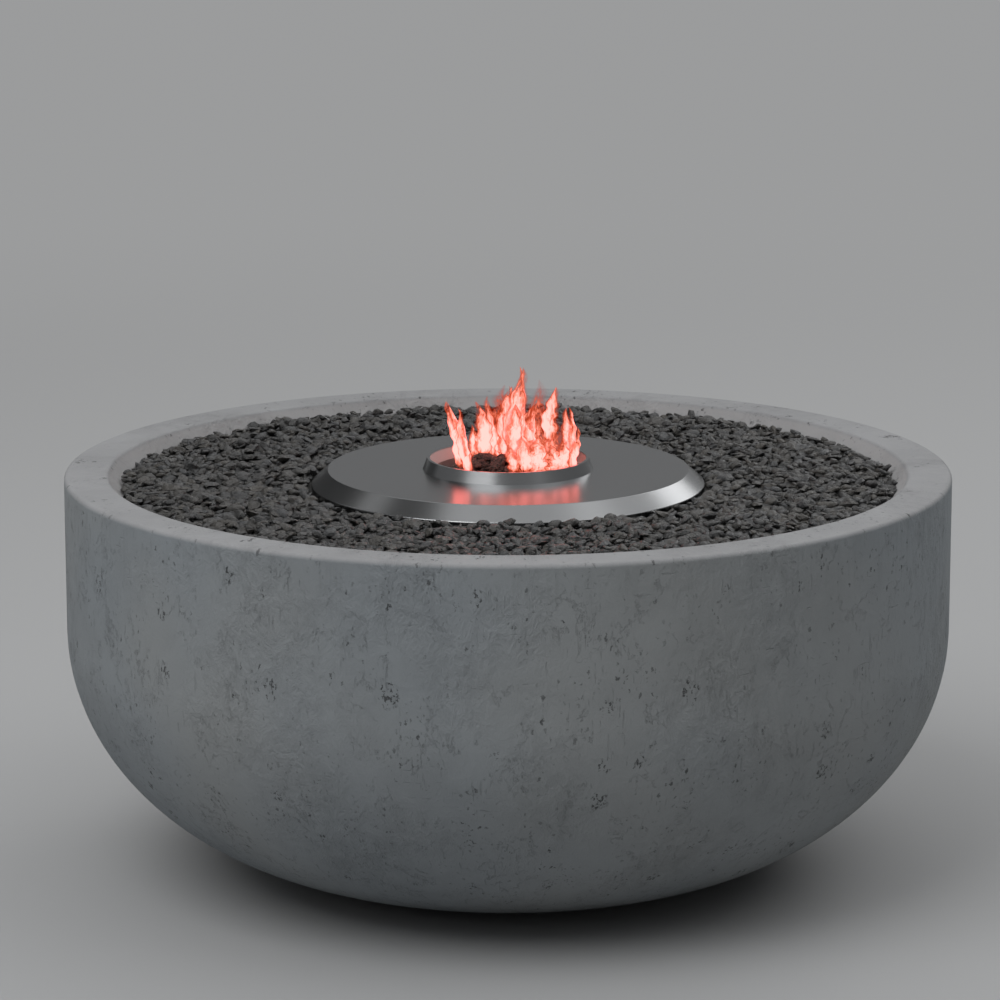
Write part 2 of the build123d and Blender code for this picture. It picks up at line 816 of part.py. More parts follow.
def make_valve_body():
    middle_y = plate_back_y - valve_length / 2
    block = Pos(valve_x, middle_y, panel_z) * Box(valve_width, valve_length, valve_height)
    block = fillet(block.edges().filter_by(Axis.Y), valve_round)
    block += rod_back(valve_x, plate_back_y, panel_z, neck_radius, plate_thickness + neck_proud)
    block += rod_back(outlet_x, outlet_end_y, panel_z, stub_radius, stub_length)
    block += rod_back(safety_x, safety_end_y, panel_z, safety_radius, safety_length)
    block += rod_up(inlet_x, inlet_stub_y, inlet_stub_z, stub_radius, stub_length)
    # Plug chamber, spindle bore and the bores that take the pipes and the thermocouple
    block -= rod_back(valve_x, plug_back_y - slip, panel_z, plug_radius + running, plug_length + 2 * slip)
    block -= rod_back(valve_x, plug_front_y, panel_z, spindle_radius + running, knob_front_y - plug_front_y)
    block -= rod_back(outlet_x, outlet_end_y, panel_z, pipe_radius + snug, stub_length)
    block -= rod_up(inlet_x, inlet_stub_y, inlet_stub_z, pipe_radius + snug, stub_length)
    block -= rod_back(safety_x, safety_end_y, panel_z, lead_radius + snug, pipe_entry)
    return block


def make_valve_nut():
    nut = hex_back(valve_x, plate_front_y, panel_z, neck_nut_flats, neck_nut_height)
    return nut - rod_back(valve_x, plate_front_y, panel_z, neck_radius + snug, neck_nut_height)


def make_valve_plug():
    # Turning plug with a blind bore for the spindle
    plug = rod_back(valve_x, plug_back_y, panel_z, plug_radius, plug_length)
    plug -= rod_back(
        valve_x,
        spindle_back_y - knob_push - slip,
        panel_z,
        spindle_radius + running,
        spindle_reach + knob_push + overrun,
    )
    return plug


def make_valve_spindle():
    front_y = knob_front_y - knob_roof + slip
    return rod_back(valve_x, spindle_back_y, panel_z, spindle_radius, front_y - spindle_back_y)


def make_control_knob():
    # Fluted knob, hollow behind so that it can be pushed in over the nut
    radius = knob_diameter / 2
    knob = rod_back(valve_x, knob_back_y, panel_z, radius, knob_depth)
    knob = chamfer(knob.edges().group_by(Axis.Y)[-1], knob_edge)
    hollow = rod_back(valve_x, knob_back_y, panel_z, radius - knob_rim, knob_depth - knob_roof)
    hollow -= rod_back(valve_x, knob_back_y + knob_push + slip, panel_z, knob_hub_radius, knob_depth)
    knob -= hollow
    knob -= rod_back(
        valve_x, knob_back_y, panel_z, spindle_radius + snug, knob_depth - knob_roof + 2 * slip
    )
    flute_place = radius + knob_flute_radius - knob_flute_depth
    for n in range(knob_flute_count):
        angle = 2 * math.pi * (n + 0.5) / knob_flute_count
        x = valve_x + flute_place * math.cos(angle)
        z = panel_z + flute_place * math.sin(angle)
        knob -= rod_back(x, knob_back_y, z, knob_flute_radius, knob_depth)
    # Pointer line from the middle to the edge, towards the full mark
    line = Box(radius, 2 * knob_line_depth, knob_line_width)
    return knob - Pos(valve_x + radius / 2, knob_front_y, panel_z) * line


def make_igniter_body():
    x = igniter_offset
    body = rod_back(x, igniter_back_y, panel_z, igniter_radius, plate_front_y - igniter_back_y)
    body += rod_back(x, plate_front_y, panel_z, bezel_radius, bezel_height)
    body = chamfer(body.edges().group_by(Axis.Y)[-1], button_edge)
    body += rod_back(x, igniter_end_y, panel_z, terminal_radius, terminal_length)
    bore_y = button_back_y - button_travel - slip
    return body - rod_back(x, bore_y, panel_z, button_radius + running, knob_front_y - bore_y)


def make_igniter_nut():
    y = plate_back_y - igniter_nut_height
    nut = hex_back(igniter_offset, y, panel_z, igniter_nut_flats, igniter_nut_height)
    return nut - rod_back(igniter_offset, y, panel_z, igniter_radius + snug, igniter_nut_height)


def make_igniter_button():
    button = rod_back(igniter_offset, button_back_y, panel_z, button_radius, button_depth + button_proud)
    return fillet(button.edges().group_by(Axis.Y)[-1], button_edge)


def lead_points(side, far_x, far_y):
    # A lead hangs below its probe, runs clipped under the tray and drops to the back
    x = side * probe_r
    dip_z = tray_under_z - lead_dip
    rise_y, start_y, end_y = [share * tray_wall_r for share in lead_lane_shares]
    return [
        (x, 0, bridge_top_z - probe_below),
        (x, 0, dip_z),
        (x, rise_y, dip_z),
        (x, start_y, lead_run_z),
        (x, end_y, lead_run_z),
        (far_x, far_y - lead_valve_run, panel_z),
        (far_x, far_y, panel_z),
    ]


def make_igniter_lead():
    points = lead_points(-1, igniter_offset, igniter_end_y)
    return pipe_along(points, lead_bend, lead_radius, 0)


def make_thermocouple_lead():
    points = lead_points(1, safety_x, safety_end_y)
    return pipe_along(points, lead_bend, lead_radius, 0)


def make_lead_clips():
    # Saddle clips that hold the two leads up against the tray floor
    clips = []
    profile = Circle(lead_radius + snug + clip_sheet)
    rise = tray_under_z - lead_run_z
    profile += Pos(0, -rise + clip_sheet / 2) * Rectangle(clip_foot, clip_sheet)
    profile -= Pos(0, -rise - lead_radius) * Rectangle(clip_foot, 2 * lead_radius)
    profile -= Circle(lead_radius + snug) + Pos(0, -rise / 2) * Rectangle(2 * (lead_radius + snug), rise)
    for x in (-probe_r, probe_r):
        for share in clip_place_shares:
            start = back_plane(x, share * tray_wall_r - clip_width / 2, lead_run_z)
            for piece in extrude(start * profile, clip_width).solids():
                clips.append(piece)
    return Compound(clips)


def make_electrode_ceramic():
    low_z = bridge_top_z - probe_below
    ceramic = rod_up(-probe_r, 0, low_z, ceramic_radius, ceramic_length)
    return ceramic - rod_up(-probe_r, 0, low_z, spark_pin_radius + snug, ceramic_length)


def make_spark_electrode():
    low_z = bridge_top_z - probe_below
    return rod_up(-probe_r, 0, low_z, spark_pin_radius, ceramic_length + spark_pin_length)


def make_thermocouple():
    probe = rod_up(probe_r, 0, bridge_top_z - probe_below, probe_radius, probe_length)
    return fillet(probe.edges().group_by(Axis.Z)[-1], probe_radius / 2)


def make_probe_retainers():
    low_z = tray_floor_z - retainer_sheet
    rings = []
    for x, radius in ((-probe_r, ceramic_radius), (probe_r, probe_radius)):
        ring = rod_up(x, 0, low_z, retainer_radius, retainer_sheet)
        ring -= rod_up(x, 0, low_z, radius + snug, retainer_sheet)
        rings.append(ring.solid())
    return Compound(rings)


def make_gas_inlet():
    # Flanged inlet: tail in the wall, flange, hexagon and plain nipple
    flange_y = inlet_seat_y + inlet_flange_thickness
    nipple_y = flange_y + inlet_hex_length
    inlet = rod_back(inlet_x, inlet_seat_y, inlet_z, inlet_flange_radius, inlet_flange_thickness)
    for x in (inlet_x - inlet_screw_offset, inlet_x + inlet_screw_offset):
        inlet -= rod_back(x, inlet_seat_y, inlet_z, screw_hole_radius, inlet_flange_thickness)
    inlet += hex_back(inlet_x, flange_y, inlet_z, inlet_flats, inlet_hex_length)
    inlet += rod_back(inlet_x, nipple_y, inlet_z, nipple_radius, nipple_length)
    inlet += rod_back(inlet_x, inlet_tail_y, inlet_z, inlet_tail_radius, inlet_tail_length)
    inlet -= rod_back(inlet_x, inlet_tail_y, inlet_z, pipe_radius + snug, pipe_entry)
    inlet -= rod_back(inlet_x, inlet_tail_y, inlet_z, pipe_radius - pipe_wall, bowl_radius)
    return inlet


def make_inlet_screws():
    y = inlet_seat_y + inlet_flange_thickness
    places = (inlet_x - inlet_screw_offset, inlet_x + inlet_screw_offset)
    return Compound([screw_back(x, y, inlet_z).solid() for x in places])


save("bowl", make_bowl())
save("foot_pads", make_foot_pads())
save("control_plate", make_control_plate())
save("plate_screws", make_plate_screws())
save("gravel_tray", make_gravel_tray())
save("gravel_bed", make_gravel_bed())
save("gravel_stones", make_gravel_stones())
save("burner_cover", make_burner_cover())
save("burner_collar", make_burner_collar())
save("burner_bridge", make_burner_bridge())
save("carrier_screws", make_carrier_screws())
save("burner_cup", make_burner_cup())
save("ring_burner", make_ring_burner())
save("ember_grate", make_ember_grate())
save("ember_lumps", make_ember_lumps())
save("flame", make_flame())
save("mixing_tube", make_mixing_tube())
save("air_shutter", make_air_shutter())
save("tube_hanger", make_tube_hanger())
save("gas_jet", make_gas_jet())
save("burner_pipe", make_burner_pipe())
save("supply_pipe", make_supply_pipe())
save("pipe_nuts", make_pipe_nuts())
save("valve_body", make_valve_body())
save("valve_nut", make_valve_nut())
save("valve_plug", make_valve_plug())
save("valve_spindle", make_valve_spindle())
save("control_knob", make_control_knob())
save("igniter_body", make_igniter_body())
save("igniter_nut", make_igniter_nut())
save("igniter_button", make_igniter_button())
save("igniter_lead", make_igniter_lead())
save("thermocouple_lead", make_thermocouple_lead())
save("lead_clips", make_lead_clips())
save("electrode_ceramic", make_electrode_ceramic())
save("spark_electrode", make_spark_electrode())
save("thermocouple", make_thermocouple())
save("probe_retainers", make_probe_retainers())
save("gas_inlet", make_gas_inlet())
save("inlet_screws", make_inlet_screws())
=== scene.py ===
import math

import bpy
import numpy as np
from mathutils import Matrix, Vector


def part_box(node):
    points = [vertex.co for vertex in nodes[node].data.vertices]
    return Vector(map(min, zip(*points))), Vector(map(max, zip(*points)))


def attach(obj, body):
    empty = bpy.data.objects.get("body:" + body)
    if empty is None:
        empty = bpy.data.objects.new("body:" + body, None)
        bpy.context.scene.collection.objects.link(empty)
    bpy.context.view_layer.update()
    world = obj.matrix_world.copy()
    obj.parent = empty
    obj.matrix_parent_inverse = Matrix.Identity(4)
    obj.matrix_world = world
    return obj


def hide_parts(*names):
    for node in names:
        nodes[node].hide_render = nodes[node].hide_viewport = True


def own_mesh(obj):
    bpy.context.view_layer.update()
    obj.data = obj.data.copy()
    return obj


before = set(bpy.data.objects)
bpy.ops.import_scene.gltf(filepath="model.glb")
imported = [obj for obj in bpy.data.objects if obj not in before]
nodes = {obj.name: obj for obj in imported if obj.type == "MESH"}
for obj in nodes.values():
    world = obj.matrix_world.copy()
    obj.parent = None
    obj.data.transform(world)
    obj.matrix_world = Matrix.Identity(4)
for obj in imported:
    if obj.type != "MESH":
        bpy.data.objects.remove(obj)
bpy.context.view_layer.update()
rng = np.random.default_rng(11)
fullTurn = 2 * math.pi
goldenTurn = math.radians(137.508)
black = (0.0, 0.0, 0.0)


class Val:
    # one shader socket; arithmetic on it adds math nodes
    def __init__(self, mat, out):
        self.mat = mat
        self.out = out

    def calc(self, operation, *rest):
        return self.mat.node("ShaderNodeMath", (self,) + rest, operation=operation)

    def __add__(self, other):
        return self.calc("ADD", other)

    def __radd__(self, other):
        return self.calc("ADD", other)

    def __sub__(self, other):
        return self.calc("SUBTRACT", other)

    def __rsub__(self, other):
        return self.mat.node("ShaderNodeMath", (other, self), operation="SUBTRACT")

    def __mul__(self, other):
        return self.calc("MULTIPLY", other)

    def __rmul__(self, other):
        return self.calc("MULTIPLY", other)

    def __pow__(self, other):
        return self.calc("POWER", other)

    def __abs__(self):
        return self.calc("ABSOLUTE")

    def most(self, other):
        return self.calc("MAXIMUM", other)

    def step(self, low, high):
        # smooth 0 to 1 between low and high
        values = {"Value": self, "From Min": low, "From Max": high}
        return self.mat.node("ShaderNodeMapRange", values, interpolation_type="SMOOTHSTEP")

    def fall(self, low, high):
        # smooth 1 to 0 between low and high
        return 1.0 - self.step(low, high)


class Mat:
    # a principled material; constants are set on its own sockets
    def __init__(self, name, constants):
        self.data = bpy.data.materials.new(name)
        self.data.use_nodes = True
        self.tree = self.data.node_tree
        self.bsdf = self.tree.nodes["Principled BSDF"]
        for label, value in constants.items():
            self.put(label, value)

    def feed(self, socket, value):
        # links a shader value, or sets a colour or a number
        if isinstance(value, Val):
            self.tree.links.new(value.out, socket)
        elif isinstance(value, tuple):
            socket.default_value = (*value, 1.0)
        else:
            socket.default_value = value

    def put(self, label, value):
        self.feed(self.bsdf.inputs[label], value)

    def node(self, kind, values=(), out=0, stops=(), **settings):
        # any node: settings and ramp stops first, then its sockets by name or number
        made = self.tree.nodes.new(kind)
        for key, value in settings.items():
            setattr(made, key, value)
        if stops:
            points = made.color_ramp.elements
            for stop in stops[2:]:  # a new ramp already has two points
                points.new(stop[0])
            for point, (place, color) in zip(points, stops):
                point.position = place
                point.color = (*color, 1.0)
        pairs = values.items() if isinstance(values, dict) else enumerate(values)
        for key, value in pairs:
            self.feed(made.inputs[key], value)
        return Val(self, made.outputs[out])

    def coords(self):
        return self.node("ShaderNodeTexCoord", out="Object")

    def split(self, vector):
        first = self.node("ShaderNodeSeparateXYZ", (vector,))
        outs = first.out.node.outputs
        return [Val(self, outs[n]) for n in range(3)]

    def join(self, x, y, z):
        return self.node("ShaderNodeCombineXYZ", (x, y, z))

    def noise(self, vector, scale, detail=3.0, rough=0.55, warp=0.0, out=0):
        values = {"Vector": vector, "Scale": scale, "Detail": detail, "Roughness": rough, "Distortion": warp}
        return self.node("ShaderNodeTexNoise", values, out=out)

    def patches(self, vector, low, high, *settings):
        # noise cut into patches: none below low, full above high
        return self.noise(vector, *settings).step(low, high)

    def cells(self, vector, scale, out="Distance", **settings):
        return self.node("ShaderNodeTexVoronoi", {"Vector": vector, "Scale": scale}, out=out, **settings)

    def mix(self, factor, first, second):
        values = {0: factor, 6: first, 7: second}
        return self.node("ShaderNodeMix", values, out=2, data_type="RGBA")

    def bump(self, height, strength, distance):
        values = {"Height": height, "Strength": strength, "Distance": distance}
        self.put("Normal", self.node("ShaderNodeBump", values))

    def attribute(self, name):
        return self.node("ShaderNodeAttribute", out="Fac", attribute_name=name)


def fromMiddle(x, y):
    # distance from the upright axis
    return (x * x + y * y) ** 0.5


def paint(mat, *names):
    for name in names:
        mesh = nodes[name].data
        mesh.materials.clear()
        mesh.materials.append(mat.data)


def addObject(name, data):
    made = bpy.data.objects.new(name, data)
    bpy.context.scene.collection.objects.link(made)
    return made


def addPiece(name, verts, faces, mat, stands, slotName, smooth=True, **attributes):
    # verts and faces are whole arrays, smooth is one flag or one for each face;
    # the piece rides on the base and stands for a CAD node
    mesh = bpy.data.meshes.new(name)
    mesh.from_pydata(verts.tolist(), [], faces.tolist())
    for label, values in attributes.items():
        layer = mesh.attributes.new(label, "FLOAT", "POINT")
        layer.data.foreach_set("value", np.asarray(values, np.float32))
    mesh.polygons.foreach_set("use_smooth", np.full(len(faces), smooth))
    mesh.materials.append(mat.data)
    mesh.update()
    piece = addObject(name, mesh)
    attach(piece, "base")
    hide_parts(stands)
    return piece


# a noise is its scale per metre, detail, roughness and distortion; a patch has the noise values where it
# starts and where it is full before them; pinholes are cells a metre, radius in cells, share kept, depth
bowlLook = {
    "coolGrey": (0.25, 0.274, 0.291),
    "warmGrey": (0.264, 0.278, 0.282),
    "lipPaintedLightGrey": (0.345, 0.342, 0.346),
    "rimPaintedLightGrey": (0.306, 0.31, 0.318),
    "holeShadeGrey": (0.03, 0.031, 0.032),
    "holeShadeShare": 0.84,
    "specular": 0.3,
    "rough": (0.7, 0.16),  # least, and how much the patches add
    "bump": (0.6, 0.004),  # strength, then depth in metres
    "lipEdge": (0.398, 0.404),  # zones in metres, from one end of the change to the other
    "lipFoot": (0.34, 0.35),
    "wallTop": (0.376, 0.385),
    "rimTop": (0.3835, 0.3875),
    "streakTop": (0.29, 0.375),
    "wrap": 0.42,  # metres of skin for a radian
    "slope": 0.72,
    "shake": (420.0, 2.0, 0.5),
    "ragged": (0.0045, 0.0075),  # how far the shaking moves the skin, round and down
    "cloud": (5.0, 4.0, 0.6),
    "patch": (24.0, 5.0, 0.68, 0.4),
    "grain": (850.0, 2.0, 0.6),
    "warmth": (0.35, 0.7, 3.0, 2.0),
    "ridge": (46.0, 6.0, 0.7, 0.35),
    "ridgeStretch": 1.2,
    "ridgePatch": (0.42, 0.62, 7.0, 2.0),
    "squiggle": (30.0, 5.0, 0.62, 0.6),
    "squiggleWidth": (0.002, 0.011),
    "squigglePatch": (0.48, 0.6, 21.0, 3.0, 0.6),
    "scratchStretch": 7.0,
    "upright": (0.62, 0.7, 40.0, 3.0, 0.6),
    "uprightPatch": (0.46, 0.6, 11.0, 2.0),
    "level": (0.64, 0.71, 40.0, 3.0, 0.6),
    "levelShift": 3.0,  # keeps the level scratches unlike the upright ones
    "levelPatch": (0.5, 0.62, 9.0, 2.0),
    "streakStretch": (26.0, 2.0),
    "streak": (0.5, 0.72, 5.0, 3.0, 0.6),
    "crowd": (0.44, 0.64, 17.0, 3.0, 0.6),
    "lone": 0.3,  # share of the large holes that stand outside a crowd
    "large": (70.0, 0.105, 0.14, 1.0),
    "small": (190.0, 0.24, 0.17, 0.85),
    "dots": (330.0, 0.3, 0.15, 0.6),
    "nest": (26.0, 0.2, 0.4, 0.95),
    "nestDots": (380.0, 0.55, 0.6, 1.0),
    "holeLeast": 0.35,  # shares of a hole's radius, and how softly it is kept or dropped
    "holeEdge": 0.3,
    "holeFade": 0.03,
    "shade": {
        "plain": 0.72,
        "cloud": 0.46,
        "patch": 0.24,
        "grain": 0.12,
        "ridge": 0.45,
        "streak": 0.08,
        "squiggle": 0.15,
        "scratch": 0.12,
    },
    "relief": {
        "patch": 0.5,
        "grain": 0.06,
        "cloud": 0.5,
        "ridge": 2.4,
        "holes": 1.1,
        "squiggle": 0.45,
        "scratch": 0.4,
    },
}


def makeConcrete():
    # cast concrete: clouded grey, clustered pinholes with painted shade, trowelled relief, scratches, rim
    # and lip painted paler as painted light
    look, shade, relief = bowlLook, bowlLook["shade"], bowlLook["relief"]
    mat = Mat("concrete", {"Specular IOR Level": look["specular"]})
    place = mat.coords()
    x, y, z = mat.split(place)
    ring = fromMiddle(x, y)
    lip = ring.fall(*look["lipEdge"]) * z.step(*look["lipFoot"])
    outside = (1.0 - lip) * z.fall(*look["wallTop"])
    # the skin unrolled: round the bowl, then down the wall and in over the lip; loose is the same, shaken
    about = x.calc("ARCTAN2", y * -1.0) * look["wrap"]
    down = (z + ring) * look["slope"]
    skin = mat.join(about, down, 0.0)
    shake = mat.split(mat.noise(place, *look["shake"], out="Color"))
    shaken = [(shake[n] - 0.5) * look["ragged"][n] for n in range(2)]
    loose = mat.join(about + shaken[0], down + shaken[1], 0.0)

    cloud = mat.noise(place, *look["cloud"])
    patch = mat.noise(place, *look["patch"])
    grain = mat.noise(place, *look["grain"])
    ridge = mat.noise(mat.join(about * look["ridgeStretch"], down, 0.0), *look["ridge"])
    ridge = (ridge - 0.5) * mat.patches(skin, *look["ridgePatch"])
    squiggle = abs(mat.noise(loose, *look["squiggle"]) - 0.5).fall(*look["squiggleWidth"])
    squiggle = squiggle * mat.patches(skin, *look["squigglePatch"]) * outside
    upright = mat.patches(mat.join(about * look["scratchStretch"], down, 0.0), *look["upright"])
    upright = upright * mat.patches(skin, *look["uprightPatch"])
    level = mat.patches(mat.join(about, down * look["scratchStretch"], look["levelShift"]), *look["level"])
    level = level * mat.patches(skin, *look["levelPatch"])
    scratch = upright.most(level) * outside
    thin, long = look["streakStretch"]
    streak = mat.patches(mat.join(about * thin, down * long, 0.0), *look["streak"])
    streak = streak * z.step(*look["streakTop"]) * outside

    def pits(scale, size, chance, depth):
        # round cells, kept where their own random number is low, ragged by the shaken skin
        away = mat.cells(loose, scale, voronoi_dimensions="2D")
        pick = mat.split(mat.cells(loose, scale, out="Color", voronoi_dimensions="2D"))
        radius = size * (look["holeLeast"] + pick[1] * pick[1])
        inside = (radius - away).step(0.0, size * look["holeEdge"])
        return inside * pick[0].fall(chance - look["holeFade"], chance) * depth

    crowd = mat.patches(skin, *look["crowd"])
    large = pits(*look["large"]) * (look["lone"] + (1.0 - look["lone"]) * crowd)
    small = pits(*look["small"]) * crowd
    dots = pits(*look["dots"]) * crowd
    nest = pits(*look["nest"]) * pits(*look["nestDots"])
    holes = large.most(small).most(dots).most(nest)

    tone = shade["plain"] + shade["cloud"] * cloud + shade["patch"] * (patch - 0.5)
    tone = tone + shade["grain"] * (grain - 0.5) + shade["ridge"] * ridge
    tone = tone * (1.0 - shade["streak"] * streak) * (1.0 - shade["squiggle"] * squiggle)
    tone = tone * (1.0 - shade["scratch"] * scratch)
    tint = mat.mix(mat.patches(place, *look["warmth"]), look["coolGrey"], look["warmGrey"])
    # painted light: the lip and the rim top are painted paler than the wall
    tint = mat.mix(lip, tint, look["lipPaintedLightGrey"])
    tint = mat.mix(z.step(*look["rimTop"]), tint, look["rimPaintedLightGrey"])
    grey = mat.mix(tone, black, tint)
    # painted shade: the pinholes are darkened in their hollows
    mat.put("Base Color", mat.mix(holes * look["holeShadeShare"], grey, look["holeShadeGrey"]))
    rough, uneven = look["rough"]
    mat.put("Roughness", rough + uneven * patch)
    height = relief["patch"] * patch + relief["grain"] * grain + relief["cloud"] * cloud
    height = height + relief["ridge"] * ridge - relief["holes"] * holes
    height = height - relief["squiggle"] * squiggle - relief["scratch"] * scratch
    mat.bump(height, *look["bump"])
    return mat


chipLook = {
    "brown": (0.062, 0.057, 0.05),
    "blue": (0.056, 0.058, 0.061),
    "shadow": (0.004, 0.004, 0.004),
    "specular": 0.65,
    "darkest": 0.35,  # added to every chip's own tone
    "mottle": (0.4, 1.2),
    "rough": (0.15, 0.32),
    "fine": (300.0, 4.0, 0.7),
    "speck": (1300.0, 2.0, 0.6),
    "speckRelief": 0.35,
    "facets": 150.0,  # broken faces a metre
    "facetRelief": 1.3,
    "bump": (0.8, 0.0025),
}


def makeStone():
    # charcoal flakes, each with its own tone and tint, finely pitted, with a sheen on the flat faces
    look = chipLook
    mat = Mat("gravel", {"Specular IOR Level": look["specular"]})
    place = mat.coords()
    fine = mat.noise(place, *look["fine"])
    speck = mat.noise(place, *look["speck"])
    even, mottled = look["mottle"]
    value = (look["darkest"] + mat.attribute("tone")) * (even + mottled * fine)
    stone = mat.mix(mat.attribute("tint"), look["brown"], look["blue"])
    mat.put("Base Color", mat.mix(value, look["shadow"], stone))
    rough, uneven = look["rough"]
    mat.put("Roughness", rough + uneven * fine)
    facets = mat.cells(place, look["facets"])
    mat.bump(fine + look["speckRelief"] * speck + look["facetRelief"] * facets, *look["bump"])
    return mat


emberLook = {
    "dark": (0.02, 0.013, 0.0105),
    "light": (0.155, 0.08, 0.066),
    "poreShade": (0.005, 0.003, 0.003),
    "specular": 0.3,
    "rough": (0.62, 0.3),
    "grain": (190.0, 5.0, 0.7),
    "lightSpan": (0.36, 0.68),
    "pores": 300.0,  # pores a metre
    "poreSpan": (0.12, 0.36),
    "poreShadeShare": 0.75,
    "poreDepth": 0.5,
    "bump": (0.9, 0.004),
}


def makeEmber():
    # dark porous lumps with a brown-red tint
    look = emberLook
    mat = Mat("ember", {"Specular IOR Level": look["specular"]})
    place = mat.coords()
    grain = mat.noise(place, *look["grain"])
    pore = mat.cells(place, look["pores"]).fall(*look["poreSpan"])
    brown = mat.mix(grain.step(*look["lightSpan"]), look["dark"], look["light"])
    # painted shade: the pores are darkened in their hollows
    mat.put("Base Color", mat.mix(pore * look["poreShadeShare"], brown, look["poreShade"]))
    rough, uneven = look["rough"]
    mat.put("Roughness", rough + uneven * grain)
    mat.bump(grain - look["poreDepth"] * pore, *look["bump"])
    return mat


flameLook = {
    "lick": (38.0, 4.0, 0.6, 0.9),
    "lickStretch": 2.4,
    "thread": (92.0, 3.0, 0.6, 0.8),
    "threadStretch": 3.4,
    "threadShare": 1.1,
    "glowShare": 1.05,
    "calmEdge": (0.0, 0.45),  # filaments grow with the glow
    "solid": (0.0, 0.4),  # warmth at which the sheet starts to show, and hides what is behind
    "strength": 1.0,
    "stops": (
        (0.0, (0.3, 0.012, 0.003)),
        (0.13, (0.46, 0.03, 0.008)),
        (0.27, (0.68, 0.085, 0.03)),
        (0.4, (1.0, 0.26, 0.17)),
        (0.53, (2.0, 0.46, 0.375)),
        (0.73, (3.1, 0.71, 0.635)),
    ),
}


def makeFlame():
    # pale core, salmon body, orange-red fringe; two stretched noises make the filaments
    look = flameLook
    constants = {"Base Color": black, "Roughness": 1.0, "Specular IOR Level": 0.0}
    mat = Mat("flame", {**constants, "Emission Strength": look["strength"]})
    x, y, z = mat.split(mat.coords())
    wide, fine = look["lickStretch"], look["threadStretch"]
    lick = mat.noise(mat.join(x * wide, y * wide, z), *look["lick"]) - 0.5
    thread = mat.noise(mat.join(x * fine, y * fine, z), *look["thread"]) - 0.5
    glow = mat.attribute("glow")
    filaments = (lick + look["threadShare"] * thread) * glow.step(*look["calmEdge"])
    warmth = glow * look["glowShare"] + filaments
    mat.put("Emission Color", mat.node("ShaderNodeValToRGB", (warmth,), stops=look["stops"]))
    mat.put("Alpha", warmth.step(*look["solid"]))
    return mat


coverLook = {
    "color": (0.27, 0.275, 0.28),
    "flameLitInside": (0.66, 0.62, 0.61),
    "insideRadius": 0.0752,
    "insideEdge": 0.0006,
    "rough": 0.25,
    "insideRough": 0.2,
    "lineRough": 0.05,
    "smearRough": 0.06,
    "lines": (2400.0, 5.0, 900.0),  # brush lines a metre outwards, a radian round, a metre up
    "lineNoise": (1.0, 3.0, 0.7),
    "smear": (9.0, 3.0),
    "bump": (0.012, 0.0004),
}


def makeCover():
    # satin steel, brushed in rings about the middle; duller inside the collar, next to the flame, and
    # painted paler there as painted light from the flame
    look = coverLook
    mat = Mat("satinSteel", {"Metallic": 1.0})
    place = mat.coords()
    x, y, z = mat.split(place)
    ring = fromMiddle(x, y)
    outwards, about, up = look["lines"]
    brushed = mat.join(ring * outwards, y.calc("ARCTAN2", x) * about, z * up)
    line = mat.noise(brushed, *look["lineNoise"])
    smear = mat.noise(place, *look["smear"])
    flameLitInside = ring.fall(look["insideRadius"] - look["insideEdge"], look["insideRadius"])
    # painted light from the flame: the inner collar wall is painted paler
    mat.put("Base Color", mat.mix(flameLitInside, look["color"], look["flameLitInside"]))
    rough = look["rough"] + look["lineRough"] * (line - 0.5) + look["smearRough"] * (smear - 0.5)
    mat.put("Roughness", rough + look["insideRough"] * flameLitInside)
    mat.bump(line, *look["bump"])
    return mat


knobLook = {
    "color": (0.035, 0.035, 0.037),
    "pointer": (0.8, 0.8, 0.78),
    "axis": (0.028, 0.275),  # x and z of the spindle
    "pointerHalf": (0.0009, 0.0011),
    "pointerStart": (-0.0008, -0.0002),
    "grooveFloor": (0.4206, 0.4212),
    "grooveTop": (0.422, 0.4223),
    "metal": 0.5,
    "rough": 0.36,
    "wear": (300.0, 3.0),
    "wearShare": 0.12,
}


def makeKnob():
    # dark anodised knob with its pointer groove filled white
    look = knobLook
    mat = Mat("anodised", {"Metallic": look["metal"]})
    place = mat.coords()
    x, y, z = mat.split(place)
    axisX, axisZ = look["axis"]
    line = abs(z - axisZ).fall(*look["pointerHalf"]) * (x - axisX).step(*look["pointerStart"])
    line = line * y.step(*look["grooveFloor"]) * y.fall(*look["grooveTop"])
    mat.put("Base Color", mat.mix(line, look["color"], look["pointer"]))
    mat.put("Roughness", look["rough"] + look["wearShare"] * (mat.noise(place, *look["wear"]) - 0.5))
    return mat


plateLook = {
    "color": (0.42, 0.42, 0.425),
    "dotColor": (0.01, 0.01, 0.01),
    "dotFloor": (0.3997, 0.3999),
    "lines": (30.0, 2600.0),  # brush lines a metre along and up
    "lineNoise": (1.0, 3.0, 0.7),
    "rough": 0.3,
    "lineRough": 0.1,
    "bump": (0.02, 0.0004),
}


def makePlate():
    # brushed plate with its sunk dots filled black
    look = plateLook
    mat = Mat("plateSteel", {"Metallic": 1.0})
    x, y, z = mat.split(mat.coords())
    along, up = look["lines"]
    line = mat.noise(mat.join(x * along, 0.0, z * up), *look["lineNoise"])
    mat.put("Base Color", mat.mix(y.fall(*look["dotFloor"]), look["color"], look["dotColor"]))
    mat.put("Roughness", look["rough"] + look["lineRough"] * (line - 0.5))
    mat.bump(line, *look["bump"])
    return mat


